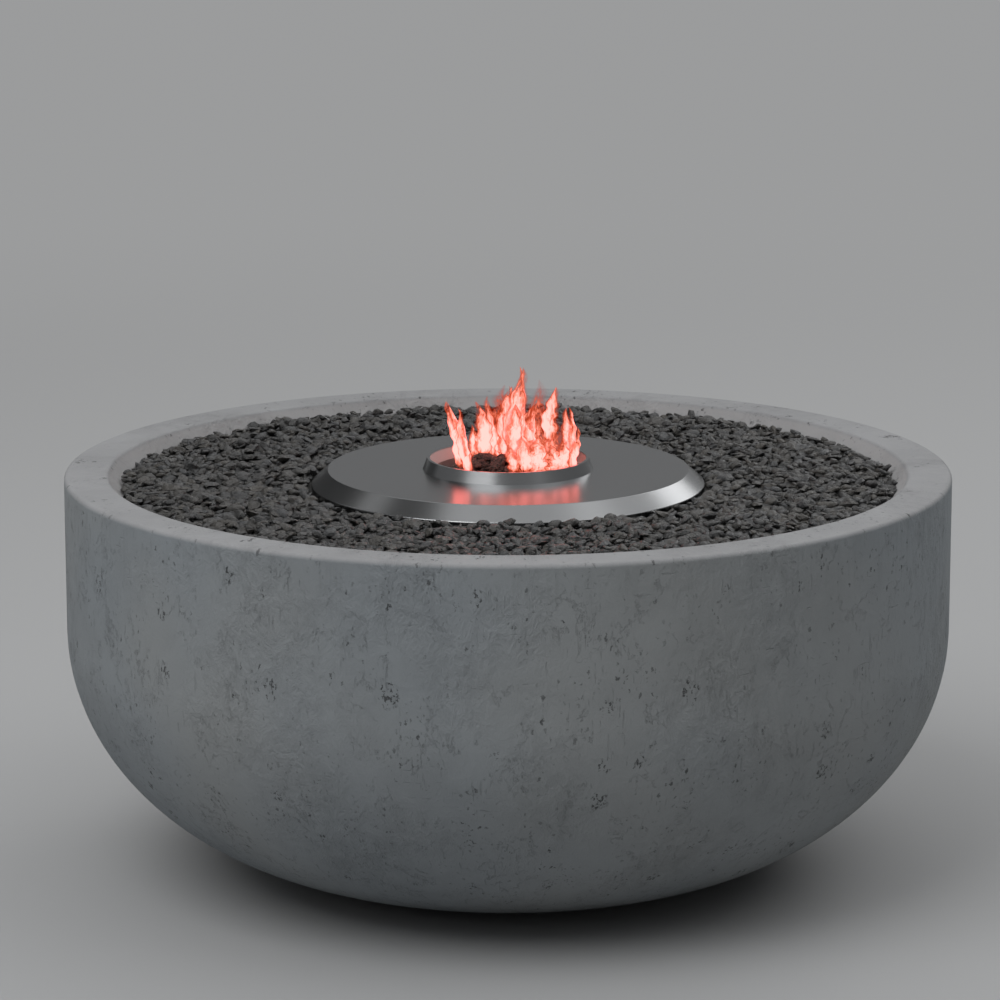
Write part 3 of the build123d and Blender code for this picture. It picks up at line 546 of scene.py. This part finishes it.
# plain finishes: colour, roughness, metallic, then the nodes that have it
plainLooks = {
    "burnerSteel": (
        (0.3, 0.28, 0.26),
        0.42,
        1.0,
        ("burner_bridge", "burner_cup", "ring_burner", "ember_grate", "mixing_tube", "air_shutter"),
    ),
    "trayPaint": ((0.03, 0.03, 0.032), 0.55, 0.0, ("gravel_tray", "tube_hanger")),
    "fastener": (
        (0.5, 0.5, 0.51),
        0.32,
        1.0,
        ("plate_screws", "carrier_screws", "inlet_screws", "valve_nut", "valve_spindle", "lead_clips",
         "probe_retainers", "spark_electrode"),
    ),
    "brass": (
        (0.62, 0.44, 0.17),
        0.3,
        1.0,
        ("gas_jet", "pipe_nuts", "valve_body", "valve_plug", "gas_inlet"),
    ),
    "copper": (
        (0.7, 0.33, 0.2),
        0.34,
        1.0,
        ("burner_pipe", "supply_pipe", "thermocouple", "thermocouple_lead"),
    ),
    "plastic": ((0.018, 0.018, 0.019), 0.42, 0.0, ("igniter_body", "igniter_nut")),
    "polished": ((0.6, 0.6, 0.61), 0.16, 1.0, ("igniter_button",)),
    "glaze": ((0.78, 0.76, 0.72), 0.18, 0.0, ("electrode_ceramic",)),
    "sleeve": ((0.22, 0.025, 0.02), 0.5, 0.0, ("igniter_lead",)),
    "padRubber": ((0.016, 0.016, 0.016), 0.75, 0.0, ("foot_pads",)),
}
plainWear = {"noise": (300.0, 3.0), "share": 0.14}


def makePlain(name, color, rough, metal):
    # one colour with slight wear in its gloss
    mat = Mat(name, {"Base Color": color, "Metallic": metal})
    wear = mat.noise(mat.coords(), *plainWear["noise"])
    mat.put("Roughness", rough + plainWear["share"] * (wear - 0.5))
    return mat


stoneMat = makeStone()
emberMat = makeEmber()
flameMat = makeFlame()
paint(makeConcrete(), "bowl")
paint(makeCover(), "burner_cover", "burner_collar")
paint(makePlate(), "control_plate")
paint(makeKnob(), "control_knob")
paint(stoneMat, "gravel_bed")
for name, (color, rough, metal, wearers) in plainLooks.items():
    paint(makePlain(name, color, rough, metal), *wearers)
print("stage: materials")


def globe(bands, sides):
    # unit sphere as bands of latitude between two poles, every second band half a step on
    lat = math.pi * (np.arange(1, bands + 1) / (bands + 1) - 0.5)
    lon = fullTurn * (np.arange(sides)[None] + 0.5 * (np.arange(bands) % 2)[:, None]) / sides
    around = np.stack([np.cos(lat)[:, None] * np.cos(lon), np.cos(lat)[:, None] * np.sin(lon)], 2)
    rows = np.concatenate([around, np.broadcast_to(np.sin(lat)[:, None, None], (bands, sides, 1))], 2)
    verts = np.concatenate([rows.reshape(-1, 3), [(0, 0, -1), (0, 0, 1)]])
    j = np.arange(sides)
    k = (j + 1) % sides
    faces = []
    for band in range(bands - 1):
        low, high = band * sides, (band + 1) * sides
        if band % 2 == 0:
            faces += [np.stack([low + j, low + k, high + j], 1), np.stack([low + k, high + k, high + j], 1)]
        else:
            faces += [np.stack([low + j, low + k, high + k], 1), np.stack([low + j, high + k, high + j], 1)]
    last = (bands - 1) * sides
    south, north = bands * sides, bands * sides + 1
    faces += [np.stack([k, j, 0 * j + south], 1), np.stack([last + j, last + k, 0 * j + north], 1)]
    return verts, np.concatenate(faces)


# a plane seen more edge-on than grazing cuts nothing; the rest are radii
rock = {"grazing": 0.05, "uncut": 9.0, "longest": 1.12}


def rockShapes(unit, count, cuts, depth):
    # a unit sphere cut back to random planes: radius = min over planes of h / (d . n)
    normals = rng.normal(size=(count, cuts, 3))
    normals /= np.linalg.norm(normals, axis=2, keepdims=True)
    heights = rng.uniform(depth, 1.0, (count, cuts))
    facing = np.einsum("vi,kci->kvc", unit, normals)
    cut = heights[:, None] / np.maximum(facing, rock["grazing"])
    reach = np.where(facing > rock["grazing"], cut, rock["uncut"]).min(2)
    return unit[None] * np.minimum(reach, rock["longest"])[..., None]


def turns(yaw, tilt, lean):
    # rotation arrays: yaw about Z, then a tilt about the level axis at angle lean
    zero = np.zeros_like(yaw)
    axis = np.stack([np.cos(lean), np.sin(lean), zero], 1)
    k = np.zeros((len(yaw), 3, 3))
    k[:, 0, 2], k[:, 1, 2], k[:, 2, 0], k[:, 2, 1] = axis[:, 1], -axis[:, 0], -axis[:, 1], axis[:, 0]
    s, c = np.sin(tilt)[:, None, None], np.cos(tilt)[:, None, None]
    tip = np.eye(3) + s * k + (1 - c) * (k @ k)
    spin = np.zeros_like(k)
    spin[:, 0, 0] = spin[:, 1, 1] = np.cos(yaw)
    spin[:, 0, 1], spin[:, 1, 0], spin[:, 2, 2] = -np.sin(yaw), np.sin(yaw), 1.0
    return tip @ spin


def scatter(shapes, unitFaces, stretch, places, rot):
    # every stone at once: its shape stretched, turned and moved into place
    verts = np.einsum("nij,nvj->nvi", rot, shapes * stretch[:, None]) + places[:, None]
    faces = unitFaces[None] + (np.arange(len(places)) * shapes.shape[1])[:, None, None]
    return verts.reshape(-1, 3), faces.reshape(-1, 3)


# chips in metres; a stone's size is half its length
gravel = {
    "count": 7600,
    "inner": 0.1912,
    "outer": 0.372,
    "room": (0.65, 0.45),  # sizes kept clear of the disc and of the lip
    "level": 0.3712,
    "rise": 0.0045,
    "riseCurve": 1.3,
    "swell": 0.001,
    "swellWaves": ((61, 0, 2), (0, 53, 0), (47, 47, 1)),
    "heave": 0.0025,
    "heaveLimits": (-0.005, 0.004),
    "gap": 0.0003,
    "sectors": 3,
    "globe": (4, 9),
    "kinds": (40, 9, 0.34),  # shapes, planes that cut each, radius left by the deepest cut
    "size": 0.0066,
    "sizeSpread": 0.24,
    "sizeLimits": (0.004, 0.0108),
    "wide": (0.62, 0.95),
    "thick": (0.32, 0.56),
    "wander": 0.006,
    "tilt": (0.16, 0.3),
    "tone": (0.43, 0.3),
}


def buildGravel():
    # sunflower spiral r = sqrt(r0^2 + t (r1^2 - r0^2)), jittered; flakes lie shingled, banked up to the lip
    unit, unitFaces = globe(*gravel["globe"])
    kinds = rockShapes(unit, *gravel["kinds"])
    count = gravel["count"]
    size = rng.lognormal(math.log(gravel["size"]), gravel["sizeSpread"], count).clip(*gravel["sizeLimits"])
    share = (np.arange(count) + rng.uniform(0, 1, count)) / count
    r0, r1 = gravel["inner"] + gravel["room"][0] * size, gravel["outer"] - gravel["room"][1] * size
    r = np.sqrt(r0**2 + share * (r1**2 - r0**2))
    angle = goldenTurn * np.arange(count) + rng.normal(0, gravel["wander"], count)
    x, y = r * np.cos(angle), r * np.sin(angle)
    swell = gravel["swell"] * sum(np.sin(a * x + b * y + c) for a, b, c in gravel["swellWaves"])
    across = (r - gravel["inner"]) / (gravel["outer"] - gravel["inner"])
    bank = gravel["rise"] * across.clip(0, 1) ** gravel["riseCurve"]
    z = gravel["level"] + bank + swell + rng.normal(0, gravel["heave"], count).clip(*gravel["heaveLimits"])
    places = np.stack([x, y, z], 1)
    tilt = rng.normal(*gravel["tilt"], count)
    rot = turns(rng.uniform(0, fullTurn, count), tilt, rng.uniform(0, fullTurn, count))
    wide = rng.uniform(*gravel["wide"], count)
    thick = rng.uniform(*gravel["thick"], count)
    stretch = np.stack([size, size * wide, size * thick], 1)
    shapes = kinds[rng.integers(0, len(kinds), count)]
    # a stone that would cut into the cover is pushed outwards, clear of its skirt
    verts = scatter(shapes, unitFaces, stretch, places, rot)[0]
    nearest = np.hypot(verts[:, 0], verts[:, 1]).reshape(count, -1).min(1)
    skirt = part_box("burner_cover")[1][0] + gravel["gap"]
    places[:, :2] *= 1 + (np.maximum(skirt - nearest, 0) / r)[:, None]
    tone = rng.normal(*gravel["tone"], count).clip(0, 1)
    tint = rng.uniform(0, 1, count)
    sector = (angle % fullTurn / fullTurn * gravel["sectors"]).astype(int)
    for n in range(gravel["sectors"]):
        mine = sector == n
        verts, faces = scatter(shapes[mine], unitFaces, stretch[mine], places[mine], rot[mine])
        facts = {"tone": np.repeat(tone[mine], len(unit)), "tint": np.repeat(tint[mine], len(unit))}
        worn = np.repeat(np.arange(mine.sum()) % 2 == 0, len(unitFaces))  # every second stone is smooth
        addPiece(f"gravel{n + 1}", verts, faces, stoneMat, "gravel_stones", "gravel", worn, **facts)


buildGravel()
print("stage: gravel")

# lumps in metres; the ripples are waves over the unit sphere and how far they swing
embers = {
    "count": 64,
    "reach": 0.057,
    "floor": 0.366,
    "edge": 0.376,
    "peak": 0.0195,
    "middle": (-0.012, -0.008),
    "globe": (13, 24),
    "cuts": 11,
    "deepest": 0.45,
    "waves": (4.0, 6.0, 9.0, 13.0, 17.0),
    "swings": (0.05, 0.045, 0.035, 0.028, 0.02),
    "sizes": (0.0085, 0.0145),
    "stretch": (1.2, 0.85, 0.6),
    "jitter": 0.002,
    "twist": 0.4,
    "tilt": 0.5,
}


def buildEmbers():
    # a heap of two layers: top z = edge + peak (1 - (r / reach)^2); lumps roughened by sums of sines
    unit, unitFaces = globe(*embers["globe"])
    count = embers["count"]
    ripples = len(embers["waves"])
    shapes = rockShapes(unit, count, embers["cuts"], embers["deepest"])
    waves = rng.normal(size=(count, ripples, 3)) * np.array(embers["waves"])[None, :, None]
    phase = rng.uniform(0, fullTurn, (count, ripples))
    ripple = np.sin(np.einsum("vi,kwi->kvw", unit, waves) + phase[:, None]) * np.array(embers["swings"])
    shapes = shapes * (1 + ripple.sum(2))[..., None]
    size = rng.uniform(*embers["sizes"], count)
    layer = np.arange(count) % 2
    turn = np.arange(count) // 2
    share = (turn + 0.5) / (count / 2)
    r = embers["reach"] * np.sqrt(share)
    angle = goldenTurn * turn + layer * embers["twist"]
    jitter = rng.uniform(-embers["jitter"], embers["jitter"], count)
    top = embers["edge"] + embers["peak"] * (1 - share) + jitter
    x = r * np.cos(angle) + embers["middle"][0] * (1 - share)
    y = r * np.sin(angle) + embers["middle"][1] * (1 - share)
    places = np.stack([x, y, np.where(layer == 1, embers["floor"], top)], 1)
    yaw = rng.uniform(0, fullTurn, count)
    tilt = rng.uniform(0, embers["tilt"], count)
    rot = turns(yaw, tilt, rng.uniform(0, fullTurn, count))
    stretch = size[:, None] * np.array(embers["stretch"])
    verts, faces = scatter(shapes, unitFaces, stretch, places, rot)
    addPiece("emberHeap", verts, faces, emberMat, "ember_lumps", "ember")


buildEmbers()
print("stage: embers")

flame = {
    "floor": 0.3553,
    # tongues in millimetres: foot x, y, z, tip x, y, z, half width, then the share of full heat
    "tongues": (
        (-44, -34, 403, -56, -34, 459, 9.0, 1.0),
        (-37, -43, 398, -49, -40, 453, 7.0, 1.0),
        (-36, 22, 402, -36, 22, 426, 5.5, 0.8),
        (-23, 36, 400, -29, 36, 446, 10.5, 1.0),
        (-16, 42, 398, -18, 44, 450, 8.0, 0.8),
        (-9, 46, 397, -10, 48, 436, 9.5, 1.0),
        (-8, 48, 402, -6, 50, 460, 14.0, 0.44),
        (8, 14, 396, 10, 22, 482, 13.5, 1.0),
        (0, 30, 398, 1, 30, 462, 12.5, 1.0),
        (5, -4, 398, 7, 2, 450, 13.0, 1.05),
        (19, 8, 397, 23, 10, 447, 13.0, 0.95),
        (29, 44, 398, 29, 46, 466, 16.0, 0.42),
        (41, 34, 415, 44, 34, 461, 10.5, 1.0),
        (46, 44, 394, 44, 44, 436, 15.0, 0.42),
        (57, -6, 396, 58, 4, 446, 10.5, 1.0),
        (59, -22, 396, 66, -16, 432, 8.0, 0.9),
        (6, -46, 399, 2, -38, 418, 8.0, 0.9),
        (16, -46, 399, 14, -36, 426, 12.0, 1.0),
        (28, -46, 399, 27, -28, 424, 14.0, 1.05),
        (40, -44, 399, 42, -32, 417, 13.0, 1.0),
        (50, -38, 398, 51, -26, 423, 10.0, 0.95),
        (-30, 50, 396, -34, 52, 418, 5.5, 0.7),
        (62, 24, 394, 64, 26, 412, 7.5, 0.8),
    ),
    "millimetre": 0.001,
    "fade": 0.010,  # how far a tongue runs on below its foot
    "fadeIn": 1.5,  # fades until its glow is full
    "crossed": 0.048,  # tongues taller and hotter than this have a second leaf across the first
    "crossedHeat": 0.9,
    "crossedWidth": 0.8,
    "rows": 40,
    "columns": 14,
    "leaf": (2.1, 0.45, 0.75),  # breadth, then how it opens at the foot and closes at the tip
    "tears": (0.25, 17, 1.3),  # depth, wave and skew of the two edges
    "shiver": (0.12, 31),
    "sway": (0.06, 6.0),
    "faceOn": 0.5,  # turns the leaves towards the front
    "bow": 0.8,
    "lean": 1.3,
    "core": (2.4, 1.1),  # power of the fall to the edges at the foot, less this at the tip
    "cooling": (0.74, 1.7),
}


def tongueSheet(foot, tip, wide, heat, phase, quarter):
    # a leaf of half width breadth w v^opening (1 - v)^closing, torn at the edges, bowed and swaying as an S
    v = np.linspace(0, 1, flame["rows"])[:, None]
    u = np.linspace(-1, 1, flame["columns"] + 1)[None]
    low = foot[2] - flame["fade"]
    tall = tip[2] - low
    broad, opening, closing = flame["leaf"]
    tear, tearWave, skew = flame["tears"]
    shiver, shiverWave = flame["shiver"]
    sway, swayWave = flame["sway"]
    ragged = 1 + tear * v * np.sin(tearWave * v + phase + skew * np.sign(u))
    ragged = ragged + shiver * np.sin(shiverWave * v + 2 * phase)
    half = broad * wide * v**opening * (1 - v) ** closing * ragged
    along = half * u + sway * tall * v * np.sin(swayWave * v + phase)
    tangent = math.atan2(foot[1], foot[0]) + math.pi / 2
    turn = math.atan(flame["faceOn"] * math.tan(tangent)) + quarter * math.pi / 2
    bow = flame["bow"] * half * (1 - u**2)
    ease = v ** flame["lean"]
    x = foot[0] + (tip[0] - foot[0]) * ease + along * math.cos(turn) + bow * math.sin(turn)
    y = foot[1] + (tip[1] - foot[1]) * ease + along * math.sin(turn) - bow * math.cos(turn)
    z = low + tall * v + 0 * u
    # the glow is full in the core, and falls to the edges, the foot and the tip
    power, spread = flame["core"]
    cool, coolCurve = flame["cooling"]
    rise = np.clip(v * tall / (flame["fadeIn"] * flame["fade"]), 0, 1)
    glow = heat * rise * (1 - np.abs(u) ** (power - spread * v)) * (1 - cool * v**coolCurve)
    return np.stack([x, y, z], 2).reshape(-1, 3), glow.ravel()


def buildFlame():
    # tongues listed, the tall ones crossed; the gap at the front left shows the lumps
    sheets = []
    for row in flame["tongues"]:
        foot, tip = np.array(row[:3]) * flame["millimetre"], np.array(row[3:6]) * flame["millimetre"]
        wide, heat = row[6] * flame["millimetre"], row[7]
        phase = rng.uniform(0, fullTurn)
        sheets.append(tongueSheet(foot, tip, wide, heat, phase, 0))
        if heat > flame["crossedHeat"] and tip[2] - foot[2] > flame["crossed"]:
            sheets.append(tongueSheet(foot, tip, flame["crossedWidth"] * wide, heat, phase, 1))
    rows, columns = flame["rows"], flame["columns"]
    a, b = np.meshgrid(np.arange(rows - 1), np.arange(columns), indexing="ij")
    corner = (a * (columns + 1) + b).ravel()
    grid = np.stack([corner, corner + 1, corner + columns + 2, corner + columns + 1], 1)
    faces = np.concatenate([grid + n * rows * (columns + 1) for n in range(len(sheets))])
    verts = np.concatenate([sheet[0] for sheet in sheets])
    glow = np.concatenate([sheet[1] for sheet in sheets])
    return addPiece("flameTongues", verts, faces, flameMat, "flame", "flame", glow=glow)


flames = buildFlame()
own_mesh(flames)
print("stage: flame")

# places and sizes in metres, power in watts
lamps = {
    "key": {"place": (-2.2, -2.5, 4.4), "power": 102.0, "size": (3.5, 3.5)},
    "fill": {"place": (2.9, -0.8, 4.4), "power": 18.0, "size": (3.0, 3.0)},
    "top": {"place": (0.0, 0.4, 4.2), "power": 270.0, "size": (12.0, 12.0)},
    "low": {"place": (-3.2, -3.3, 2.6), "power": 12.0, "size": (3.0, 2.0)},
    "behind": {"place": (2.6, 3.6, 2.8), "power": 26.0, "size": (2.2, 2.0)},
}
aim = (0.0, 0.0, 0.35)


def addLamp(name, place, power, size):
    # a soft rectangle turned to the aim: tilt atan(level / up), then the heading
    data = bpy.data.lights.new(name, "AREA")
    data.energy = power
    data.shape = "RECTANGLE"
    data.size, data.size_y = size
    lamp = addObject(name, data)
    lamp.location = place
    away = np.array(place) - np.array(aim)
    level = math.hypot(away[0], away[1])
    lamp.rotation_euler = (math.atan2(level, away[2]), 0.0, math.atan2(away[1], away[0]) + math.pi / 2)
    lamp.visible_camera = False


boards = {
    "color": (0.09, 0.09, 0.09),
    "wall": [(-3.4, 1.9, 0.5), (-0.75, 3.6, 0.5), (-0.75, 3.6, 3.4), (-3.4, 1.9, 3.4)],
    "roof": [(-5.5, -1.0, 4.1), (-1.5, -1.0, 4.1), (-1.5, 5.5, 4.1), (-5.5, 5.5, 4.1)],
}


def addFlag():
    # dark boards behind and over the left, seen only in reflections
    dark = Mat("board", {"Base Color": boards["color"], "Roughness": 1.0, "Specular IOR Level": 0.0})
    mesh = bpy.data.meshes.new("flag")
    mesh.from_pydata(boards["wall"] + boards["roof"], [], [(0, 1, 2, 3), (4, 5, 6, 7)])
    mesh.materials.append(dark.data)
    flag = addObject("flag", mesh)
    flag.visible_camera = flag.visible_diffuse = flag.visible_shadow = False


backdrop = {
    "half": 30.0,
    "floor": (0.42, 0.425, 0.43),
    "far": (0.31, 0.313, 0.316),
    "fade": (1.4, 4.5),  # distances between which the floor turns into the far glow
    "rough": 0.7,
    "specular": 0.2,
    "ambient": 0.12,
    "seen": (0.23, 0.232, 0.235),
}


def addFloor():
    # pale floor that keeps the shadow and turns into an even glow far off
    constants = {"Roughness": backdrop["rough"], "Specular IOR Level": backdrop["specular"]}
    ground = Mat("ground", {**constants, "Emission Strength": 1.0})
    x, y = ground.split(ground.coords())[:2]
    far = fromMiddle(x, y).step(*backdrop["fade"])
    ground.put("Base Color", ground.mix(far, backdrop["floor"], black))
    ground.put("Emission Color", ground.mix(far, black, backdrop["far"]))
    half = backdrop["half"]
    corners = [(-half, -half, 0), (half, -half, 0), (half, half, 0), (-half, half, 0)]
    mesh = bpy.data.meshes.new("floor")
    mesh.from_pydata(corners, [], [(0, 1, 2, 3)])
    mesh.materials.append(ground.data)
    floor = addObject("floor", mesh)


def addWorld():
    # weak even light, and a background that only the camera, reflections and clear pieces see
    world = bpy.data.worlds.new("studio")
    bpy.context.scene.world = world
    world.use_nodes = True
    tree = world.node_tree
    tree.nodes.clear()
    kinds = ("Background", "Background", "LightPath", "Math", "Math", "MixShader", "OutputWorld")
    light, seen, path, either, anyRay, mixed, end = [tree.nodes.new("ShaderNode" + kind) for kind in kinds]
    light.inputs[0].default_value = (1.0, 1.0, 1.0, 1.0)
    light.inputs[1].default_value = backdrop["ambient"]
    seen.inputs[0].default_value = (*backdrop["seen"], 1.0)
    either.operation = anyRay.operation = "MAXIMUM"
    links = (
        (path.outputs["Is Camera Ray"], either.inputs[0]),
        (path.outputs["Is Glossy Ray"], either.inputs[1]),
        (either.outputs[0], anyRay.inputs[0]),
        (path.outputs["Is Transmission Ray"], anyRay.inputs[1]),
        (anyRay.outputs[0], mixed.inputs[0]),
        (light.outputs[0], mixed.inputs[1]),
        (seen.outputs[0], mixed.inputs[2]),
        (mixed.outputs[0], end.inputs[0]),
    )
    for source, target in links:
        tree.links.new(source, target)


viewpoint = {
    "place": (0.0, -3.99147, 1.197686),
    "pitch": 78.0924,
    "sensor": 36.0,
    "lens": 152.46,
    "shift": -0.00805,
}


def buildCamera():
    # fitted to the photograph: the rim and disc ellipses agree to about a pixel, the collar's to about two
    data = bpy.data.cameras.new("camera")
    data.sensor_width = viewpoint["sensor"]
    data.lens = viewpoint["lens"]
    data.shift_x = viewpoint["shift"]
    camera = addObject("camera", data)
    camera.location = viewpoint["place"]
    camera.rotation_euler = (math.radians(viewpoint["pitch"]), 0.0, 0.0)
    bpy.context.scene.camera = camera
    bpy.context.scene.view_settings.view_transform = "Standard"


addFloor()
for name, facts in lamps.items():
    addLamp(name, **facts)
addFlag()
addWorld()
buildCamera()
print("stage: floor, lamps and camera")
